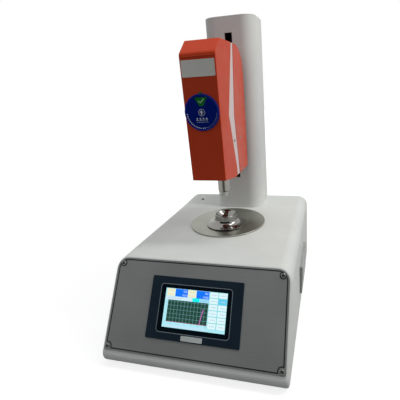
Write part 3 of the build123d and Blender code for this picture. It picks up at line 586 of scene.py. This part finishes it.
def graph(p):
    """Dashed grid with a base line, a curve and figures along both axes."""
    left, right, top, floor = 0.069, 0.715, 0.299, 0.854
    columns, rows, dashes_across = 12, 12, 24
    line_step = 0.1046
    upright_half, upright_high = 0.0034, 0.033
    level_wide, level_half = 0.019, 0.0052
    grid = srgb(104, 150, 160)
    p.cell(left, top, right, floor, srgb(22, 66, 50), CELL)
    for i in range(1, columns):
        s = left + (right - left) * i / columns
        for j in range(rows):
            t = top + (floor - top) * (j + 0.15) / rows
            p.cell(s - upright_half, t, s + upright_half, t + upright_high, grid, RAISED)
    for j in range(1, 6):
        t = floor - line_step * j
        for i in range(dashes_across):
            s = left + (right - left) * (i + 0.15) / dashes_across
            p.cell(s, t - level_half, s + level_wide, t + level_half, grid, RAISED)
    p.cell(left, floor - 0.010, right, floor + 0.004, srgb(168, 104, 132), AXIS)
    curve = [(0.598, 0.850), (0.607, 0.78), (0.620, 0.66), (0.633, 0.55), (0.643, 0.46)]
    p.stroke([screen_point(*c) for c in curve], 0.95, srgb(232, 112, 216), TRACE)
    for i in range(6):
        value = str(i * 2)
        p.figures(value, left + 0.11 * (i + 0.8), 0.905, 1.9, srgb(120, 160, 210), AXIS)
        p.figures(value, 0.060, floor - 0.092 * (i + 0.1), 1.7, srgb(126, 166, 206), AXIS)


def key_pad(p):
    """Two columns of six keys, one of them held down."""
    rim, mark = srgb(120, 212, 218), srgb(184, 212, 230)
    face, held = srgb(222, 248, 253), srgb(96, 206, 244)
    left, top, step_across, step_down = 0.727, 0.010, 0.140, 0.1545
    wide, high = 0.129, 0.137
    for col in range(2):
        for row in range(6):
            s, t = left + step_across * col, top + step_down * row
            tint = held if (col, row) == (1, 1) else face
            p.cell(s - 0.007, t - 0.010, s + 0.133, t + 0.144, rim, CELL)
            p.cell(s, t, s + wide, t + high, tint, RAISED)
            p.dashes(s + 0.034, t + 0.058, (0.018, 0.026, 0.014), mark, high=0.024)


def screen_image():
    """Generic force-against-time page."""
    p = Display(panel)
    p.cell(0.015, 0, 1, 1, srgb(176, 236, 247), PAGE)
    value_cells(p)
    title_bar(p)
    graph(p)
    p.cell(0.05, 0.935, 0.70, 0.985, srgb(196, 230, 247), CELL)
    key_pad(p)
    cells = printed("display_cells", 0.2, glow=0.97, level=0.1)
    p.build("screen_image", "base", cells, "screen_glass")


def screen_trim():
    """Fine silver rim round the glass."""
    half, top, bottom, r = 62.0, -28.3, -103.7, 5.0
    corners = (
        (half - r, top - r, 90),
        (half - r, bottom + r, 0),
        (r - half, bottom + r, -90),
        (r - half, top - r, 180),
    )
    path = []
    for cx, cv, a in corners:
        path += arc_points(cx, cv, r, a, a - 90)
    p = Print(panel)
    p.stroke(path, 1.1, srgb(112, 124, 132), TRIM, closed=True)
    p.build("screen_trim", "base", printed("trim_silver", 0.3, level=0.6), "plate_silver")


def disc_marks():
    """Ring and pointer at the hub, with ticks round the rim and bars below, and a painted
    highlight along the right half of the rim.
    """
    p = Print(head)
    ink, faint, block = srgb(214, 220, 232), srgb(120, 132, 168), srgb(160, 170, 192)
    highlight_r, hub_r = 28.9, 5.5
    # painted highlight: a lighter blue arc along the right half of the disc's rim
    p.arc(0, 0, highlight_r, -80, 96, 1.0, srgb(18, 46, 132), DISC_FACE)
    p.arc(0, 0, hub_r, 0, 360, 0.6, ink, DISC_FACE)
    arrow = [
        (-1.0, -3.3), (1.0, -3.3), (1.0, 0.3), (3.0, 0.3), (0, 3.6), (-3.0, 0.3), (-1.0, 0.3),
    ]
    p.poly(arrow, ink, HUB_FACE)
    ticks = [(a, 1.7, 25.3, ink) for a in (*range(185, 263, 7), 271, 277)]
    ticks += [(a, 0.9, 25.8, faint) for a in range(284, 357, 3)]
    for a, width, r, tint in ticks:
        away = Vector((cos(radians(a)), sin(radians(a))))
        ends = [tuple(away * r), tuple(away * (r + width * 1.1))]
        p.stroke(ends, width, tint, DISC_FACE)
    bars = ((0, -12.9, 4.4, -12.1), (0, -10.4, 3.6, -9.6), (1.7, -12.9, 2.5, -8.4))
    for left in (-11.0, -5.4, 0.2, 5.8):
        for x0, v0, x1, v1 in bars:
            p.rect(left + x0, v0, left + x1, v1, ink, DISC_FACE)
    pitch = 2.4
    for i in range(9):
        p.rect(-10.8 + pitch * i, -16.4, -9.2 + pitch * i, -15.3, block, DISC_FACE)
    p.build("disc_marks", "head", printed("disc_ink"), "head_white")


def wheel_mark():
    """Tick printed on the sector that the window shows."""
    p = Print(head)
    p.stroke([(-4.6, 18.8), (-1.4, 15.4), (5.0, 22.4)], 1.5, srgb(176, 214, 182), WHEEL_FACE)
    p.build("wheel_mark", "wheel", printed("wheel_ink"), "head_white")


def lip():
    """Bent-over lower edge of the brow sheet, across the head's front."""
    p = Print(head)
    half, v = 30.6, 88.3
    profile = [(v + 1.1, 0.02), (v + 0.4, 0.62), (v - 0.4, 0.66), (v - 0.8, 0.02)]
    for a, b in zip(profile, profile[1:]):
        p.face([(-half, *a), (-half, *b), (half, *b), (half, *a)], (0.6, 0.14, 0.09))
    p.build("brow_lip", "head", mats["head_red"], "head_red")


panel_line()
screen_image()
screen_trim()
disc_marks()
wheel_mark()
lip()


# Studio


def seen_as_background(tree, shown, other):
    """One shader for camera, mirror and glass rays, and another for the rest."""
    path = add_node(tree, "LightPath")
    seen = path.outputs["Is Camera Ray"]
    for ray in ("Is Glossy Ray", "Is Transmission Ray"):
        either = add_node(tree, "Math", operation="MAXIMUM")
        tree.links.new(seen, either.inputs[0])
        tree.links.new(path.outputs[ray], either.inputs[1])
        seen = either.outputs["Value"]
    mix = add_node(tree, "MixShader")
    tree.links.new(seen, mix.inputs["Fac"])
    tree.links.new(other, mix.inputs[1])
    tree.links.new(shown, mix.inputs[2])
    return mix.outputs["Shader"]


def studio_world(strength):
    """Even surroundings, pure white to the camera and dimmer as a light."""
    world = bpy.data.worlds.new("studio")
    world.use_nodes = True
    tree = world.node_tree
    white = add_node(tree, "Background")
    white.inputs["Color"].default_value = (1, 1, 1, 1)
    fill = tree.nodes["Background"]
    fill.inputs["Color"].default_value = (0.97, 0.99, 1, 1)
    fill.inputs["Strength"].default_value = strength
    shader = seen_as_background(tree, white.outputs[0], fill.outputs[0])
    tree.links.new(shader, tree.nodes["World Output"].inputs["Surface"])
    scene.world = world


def diffuse(tree, grey):
    """Matt shader in one grey."""
    made = add_node(tree, "BsdfDiffuse")
    made.inputs["Color"].default_value = (grey, grey, grey, 1)
    return made.outputs["BSDF"]


def studio_floor():
    """White floor that takes the shadow and fades into the surroundings."""
    half = 6
    mesh = bpy.data.meshes.new("floor")
    corners = [(-half, -half, 0), (half, -half, 0), (half, half, 0), (-half, half, 0)]
    mesh.from_pydata(corners, [], [(0, 1, 2, 3)])
    floor = add_object("floor", mesh)
    mat = bpy.data.materials.new("floor_paper")
    mat.use_nodes = True
    tree = mat.node_tree
    tree.nodes.remove(tree.nodes["Principled BSDF"])
    coords = add_node(tree, "TexCoord")
    reach = add_node(tree, "VectorMath", operation="LENGTH")
    tree.links.new(coords.outputs["Object"], reach.inputs[0])
    fade = add_node(tree, "MapRange", interpolation_type="SMOOTHSTEP")
    limits = {"From Min": 0.3, "From Max": 1.5, "To Min": 0.79, "To Max": 1.0}
    for socket, value in limits.items():
        fade.inputs[socket].default_value = value
    tree.links.new(reach.outputs["Value"], fade.inputs["Value"])
    glow = add_node(tree, "Emission")
    tree.links.new(fade.outputs["Result"], glow.inputs["Strength"])
    both = add_node(tree, "AddShader")
    tree.links.new(diffuse(tree, 0.32), both.inputs[0])
    tree.links.new(glow.outputs["Emission"], both.inputs[1])
    shader = seen_as_background(tree, both.outputs["Shader"], diffuse(tree, 0.07))
    tree.links.new(shader, tree.nodes["Material Output"].inputs["Surface"])
    mesh.materials.append(mat)


def cloth(name, colour):
    """Matt cloth."""
    mat = bpy.data.materials.new(name)
    mat.use_nodes = True
    bsdf = mat.node_tree.nodes["Principled BSDF"]
    bsdf.inputs["Base Color"].default_value = (*colour, 1)
    bsdf.inputs["Roughness"].default_value = 1.0
    return mat


def dark_flag():
    """Black cloth behind the camera and a grey one on the floor in front of the part.

    Only reflections show them, as dark bands in polished metal.
    """
    mesh = bpy.data.meshes.new("flag")
    upright = [(-3.0, -2.4, 0.0), (3.0, -2.4, 0.0), (3.0, -2.4, 3.0), (-3.0, -2.4, 3.0)]
    apron = [(-0.10, -0.42, 0.004), (0.31, -0.42, 0.004), (1.7, -2.4, 0.004), (-0.55, -2.4, 0.004)]
    mesh.from_pydata(upright + apron, [], [(3, 2, 1, 0), (4, 5, 6, 7)])
    flag = add_object("flag", mesh)
    mesh.materials.append(cloth("flag_cloth", (0.03, 0.03, 0.03)))
    mesh.materials.append(cloth("apron_cloth", (0.30, 0.29, 0.27)))
    mesh.polygons[1].material_index = 1
    flag.visible_camera = flag.visible_diffuse = flag.visible_shadow = False


def area_light(name, place, target, long, wide, power, tint=(1, 1, 1), mirrored=True):
    """Rectangular lamp aimed at a point, its long side level."""
    light = bpy.data.lights.new(name, "AREA")
    light.shape = "RECTANGLE"
    light.size = long
    light.size_y = wide
    light.energy = power
    light.color = tint
    obj = add_object(name, light)
    obj.location = place
    aim = Vector(target) - Vector(place)
    obj.rotation_euler = aim.to_track_quat("-Z", "Y").to_euler()
    obj.visible_camera = obj.visible_glossy = mirrored


def camera():
    """Camera solved from the photograph's own perspective."""
    yaw, pitch, roll = 0.261535, -0.290470, -0.060072
    place = (0.20397, -0.60109, 0.43349)
    photo, focal, centre_x, centre_y = 400, 334.464, 240.985, 187.958  # pixels
    sensor = 36
    forward = Vector((-sin(yaw) * cos(pitch), cos(yaw) * cos(pitch), sin(pitch)))
    right = Vector((cos(yaw), sin(yaw), 0))
    up = right.cross(forward)
    x = right * cos(roll) + up * sin(roll)
    y = up * cos(roll) - right * sin(roll)
    data = bpy.data.cameras.new("camera")
    data.sensor_width = sensor
    data.lens = focal / photo * sensor
    data.shift_x = (photo / 2 - centre_x) / photo
    data.shift_y = (centre_y - photo / 2) / photo
    data.clip_end = 50
    obj = add_object("camera", data)
    axes = Matrix((x, y, -forward)).transposed().to_4x4()
    axes.translation = place
    obj.matrix_world = axes
    scene.camera = obj


studio_world(0.495)
studio_floor()
dark_flag()
area_light("key", (0.70, 0.07, 1.60), (0, -0.005, 0.2), 0.14, 1.5, 9.8)
area_light("side", (1.15, 0.08, 1.05), (0, 0.08, 0.35), 0.6, 0.5, 4.75, tint=(1.0, 0.985, 0.94))
area_light("back", (-0.30, 0.33, 0.30), (-0.12, 0.19, 0.157), 0.15, 0.15, 0.17, mirrored=False)
camera()
scene.view_settings.view_transform = "Standard"
